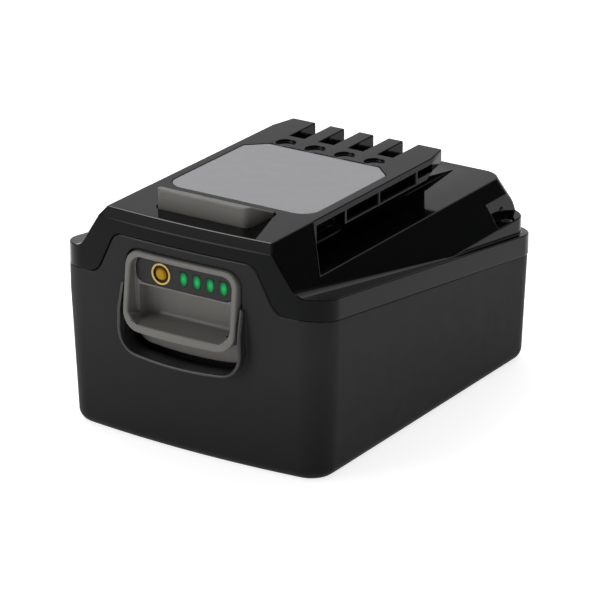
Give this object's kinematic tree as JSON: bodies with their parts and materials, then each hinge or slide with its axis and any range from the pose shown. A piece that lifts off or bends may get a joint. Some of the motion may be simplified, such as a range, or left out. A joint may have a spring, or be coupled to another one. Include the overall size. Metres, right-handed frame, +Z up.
{
  "type": "power tool battery pack",
  "caption": "Black slide-on battery pack with a tub and rail cover, sprung release button and latch tongue, charge indicator, contact slots, round cells and boards inside.",
  "frame": {"origin": "middle of the tub's flat base, halfway between the front and rear faces of the tub", "axes": "+Z up, +Y from the release button to the contact slots, +X to the right seen from the button"},
  "size_m": [0.084, 0.1169, 0.0697],
  "materials": {
    "tub_satin": "satin black, fine moulded grain",
    "cover_gloss": "polished black",
    "label_silver": "silver grey film, bare",
    "release_grey": "warm grey, satin",
    "panel_grey": "dark grey, satin gloss",
    "charge_gold": "gold yellow",
    "ring_gold": "pale gold",
    "light_green": "clear green, lit",
    "screw_steel": "blackened steel",
    "spring_steel": "drawn wire",
    "nickel": "bright nickel",
    "cell_wrap": "shrink sleeve, satin",
    "holder_grey": "moulded, matt",
    "board_green": "solder mask",
    "chip_black": "moulded, matt",
    "led_white": "clear cap",
    "sheet_grey": "insulating paper"
  },
  "bodies": {
    "housing": {"lower_housing": "tub_satin", "upper_housing": "cover_gloss", "label_plate": "label_silver", "housing_screws": "screw_steel", "board_screws": "screw_steel", "release_spring_left": "spring_steel", "release_spring_right": "spring_steel", "strip_1": "nickel", "strip_2": "nickel", "strip_3": "nickel", "strip_4": "nickel", "strip_5": "nickel", "strip_6": "nickel", "contact_clip_1": "nickel", "contact_clip_2": "nickel", "contact_clip_3": "nickel", "contact_clip_4": "nickel", "lead_positive": "nickel", "lead_negative": "nickel", "cell_1": "cell_wrap", "cell_2": "cell_wrap", "cell_3": "cell_wrap", "cell_4": "cell_wrap", "cell_5": "cell_wrap", "cell_6": "cell_wrap", "cell_7": "cell_wrap", "cell_8": "cell_wrap", "cell_9": "cell_wrap", "cell_10": "cell_wrap", "holder_left": "holder_grey", "holder_right": "holder_grey", "latch_bracket": "holder_grey", "main_board": "board_green", "indicator_board": "board_green", "power_transistors": "chip_black", "control_chip": "chip_black", "thermistor": "chip_black", "terminal_block": "chip_black", "tact_switch": "chip_black", "indicator_leds": "led_white", "insulation_sheet": "sheet_grey"},
    "release": {"release_button": "release_grey", "latch_slider": "release_grey", "indicator_panel": "panel_grey", "charge_ring": "ring_gold", "light_pipes": "light_green"},
    "charge": {"charge_button": "charge_gold"}
  },
  "joints": [
    {"name": "release_slide", "type": "slide", "parent": "housing", "child": "release", "axis": [0, 0, -1], "range_m": [0, 0.0055], "stiffness_N_per_m": 1100, "springref_m": -0.0055, "deforming": ["release_spring_left", "release_spring_right"]},
    {"name": "charge_press", "type": "slide", "parent": "release", "child": "charge", "axis": [0, 1, 0], "range_m": [0, 0.0005], "stiffness_N_per_m": 4000, "springref_m": -0.0003}
  ]
}
